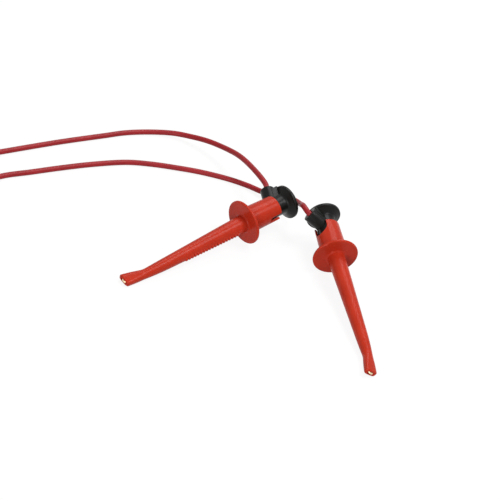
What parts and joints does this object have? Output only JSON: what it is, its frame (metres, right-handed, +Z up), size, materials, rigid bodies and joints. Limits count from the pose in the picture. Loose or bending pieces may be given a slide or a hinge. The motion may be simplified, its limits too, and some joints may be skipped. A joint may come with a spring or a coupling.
{
  "type": "mini hook test lead",
  "caption": "Flexible test lead with a spring-loaded mini hook clip at each end: pressing a clip's button against its finger flange pushes a small gold hook out of the nose tip.",
  "frame": {"origin": "on the table, below the middle of the box round the two clips", "axes": "+Z up from the table, +X from clip a to clip b, +Y from the nose tips towards the buttons"},
  "size_m": [0.1449, 0.0807, 0.0132],
  "materials": {
    "red_housing": "moulded nylon, soft gloss",
    "black_plunger": "moulded nylon, satin",
    "gold_contact": "gold-plated wire",
    "spring_steel": "drawn wire",
    "crimp_brass": "plain",
    "copper_core": "stranded copper, drawn as one round core",
    "red_wire": "flexible insulation, satin"
  },
  "bodies": {
    "lead": {"plunger_a": "black_plunger", "contact_hook_a": "gold_contact", "return_spring_a": "spring_steel", "crimp_sleeve_a": "crimp_brass", "stripped_core_a": "copper_core", "plunger_b": "black_plunger", "contact_hook_b": "gold_contact", "return_spring_b": "spring_steel", "crimp_sleeve_b": "crimp_brass", "stripped_core_b": "copper_core", "lead_wire": "red_wire"},
    "housing_a": {"housing_a": "red_housing"},
    "housing_b": {"housing_b": "red_housing"}
  },
  "joints": [
    {"name": "press_a", "type": "slide", "parent": "lead", "child": "housing_a", "axis": [0.5109, 0.8502, 0.1269], "range_m": [0, 0.0026], "stiffness_N_per_m": 150, "springref_m": -0.004, "deforming": ["return_spring_a"]},
    {"name": "press_b", "type": "slide", "parent": "lead", "child": "housing_b", "axis": [-0.5116, 0.8515, 0.115], "range_m": [0, 0.0026], "stiffness_N_per_m": 150, "springref_m": -0.004, "deforming": ["return_spring_b"]}
  ]
}
